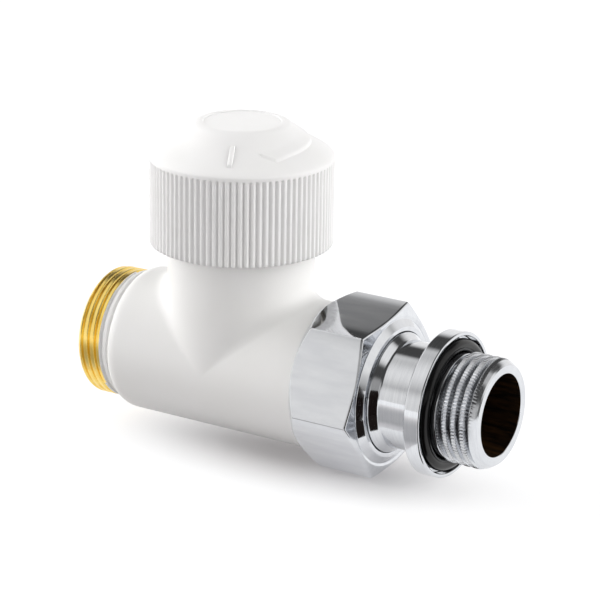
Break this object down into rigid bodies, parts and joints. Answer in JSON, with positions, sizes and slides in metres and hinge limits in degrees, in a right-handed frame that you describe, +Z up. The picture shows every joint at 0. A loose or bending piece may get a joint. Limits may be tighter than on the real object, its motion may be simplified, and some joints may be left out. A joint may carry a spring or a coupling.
{
  "type": "straight thermostatic radiator valve",
  "caption": "Straight radiator valve with a ribbed hand cap on its neck, a threaded inlet, and a union nut and tail piece with a flange seal.",
  "frame": {"origin": "centre of the inlet's end face, on the pipe's axis", "axes": "+X along the pipe from the inlet to the outlet, +Z up the valve's stem towards the cap"},
  "size_m": [0.0867, 0.035, 0.063],
  "materials": {
    "white_painted_brass": "satin white paint over forged brass",
    "turned_brass": "turned, bare",
    "chromed_brass": "polished and chromed",
    "stainless_steel": "drawn or turned",
    "white_moulded_plastic": "moulded, semi-gloss",
    "seal_rubber": "matte black"
  },
  "bodies": {
    "valve": {"valve_body": "white_painted_brass", "bonnet": "turned_brass", "bonnet_seal": "seal_rubber", "gland_nut": "turned_brass", "gland_seal": "seal_rubber", "spindle_seal": "seal_rubber", "gland_washer": "turned_brass", "return_spring": "stainless_steel", "union_gasket": "seal_rubber"},
    "spindle": {"pressure_pin": "stainless_steel", "valve_spindle": "stainless_steel", "spindle_clip": "stainless_steel", "spring_plate": "stainless_steel", "disc_cup": "turned_brass", "valve_disc": "seal_rubber", "disc_washer": "turned_brass", "disc_nut": "turned_brass"},
    "cap": {"hand_cap": "white_moulded_plastic"},
    "tail": {"tail_piece": "chromed_brass", "nut_ring": "stainless_steel", "flange_seal": "seal_rubber"},
    "nut": {"union_nut": "chromed_brass"}
  },
  "joints": [
    {"name": "stem_lift", "type": "slide", "parent": "valve", "child": "spindle", "axis": [0, 0, 1], "range_m": [0, 0.0026], "deforming": ["return_spring"]},
    {"name": "cap_turn", "type": "hinge", "parent": "spindle", "child": "cap", "pos_m": [0.0298, 0, 0.03], "axis": [0, 0, 1], "range_deg": [0, 624]},
    {"name": "tail_draw", "type": "slide", "parent": "valve", "child": "tail", "axis": [1, 0, 0], "range_m": [0, 0.00817]},
    {"name": "nut_turn", "type": "hinge", "parent": "tail", "child": "nut", "pos_m": [0.06, 0, 0], "axis": [1, 0, 0], "range_deg": [0, 1620]}
  ],
  "couplings": [
    {"joint": "stem_lift", "follows": "cap_turn", "m_per_rad": 0.00023873},
    {"joint": "tail_draw", "follows": "nut_turn", "m_per_rad": 0.00028871}
  ]
}
